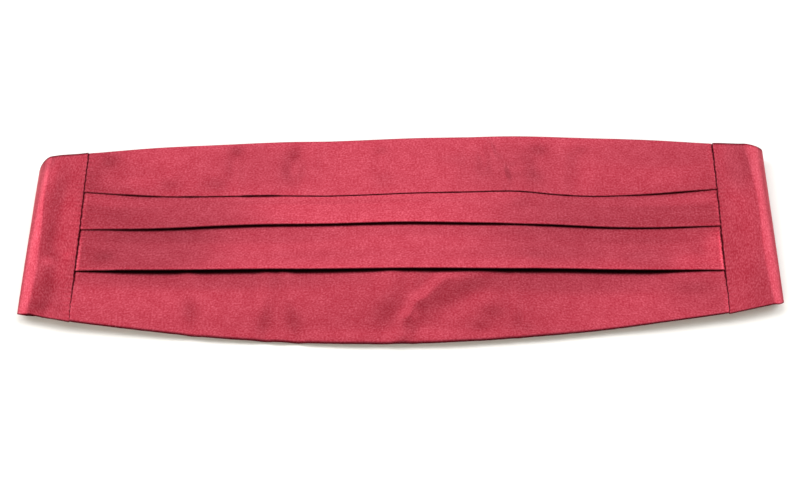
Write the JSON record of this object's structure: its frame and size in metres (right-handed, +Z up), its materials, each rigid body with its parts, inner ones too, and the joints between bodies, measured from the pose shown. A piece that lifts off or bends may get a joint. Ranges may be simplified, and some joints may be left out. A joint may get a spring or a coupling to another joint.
{
  "type": "cummerbund",
  "caption": "Satin cummerbund laid front up: a pleated front, plain ends rolled under, and a strap with a hook clasp behind.",
  "frame": {"origin": "middle of the footprint, on the surface the garment lies on", "axes": "+X along the garment to the viewer's right, +Y towards its upper edge, +Z up off the surface"},
  "size_m": [0.4181, 0.1304, 0.0151],
  "materials": {
    "satin": "satin, dark rose red",
    "webbing": "matt ribbed elastic",
    "clasp": "nickel plated"
  },
  "bodies": {
    "root": {"pleated_front": "satin", "tab_left": "satin", "tab_right": "satin", "strap_left": "webbing", "strap_right": "webbing", "eye": "clasp", "hook": "clasp"}
  },
  "joints": []
}
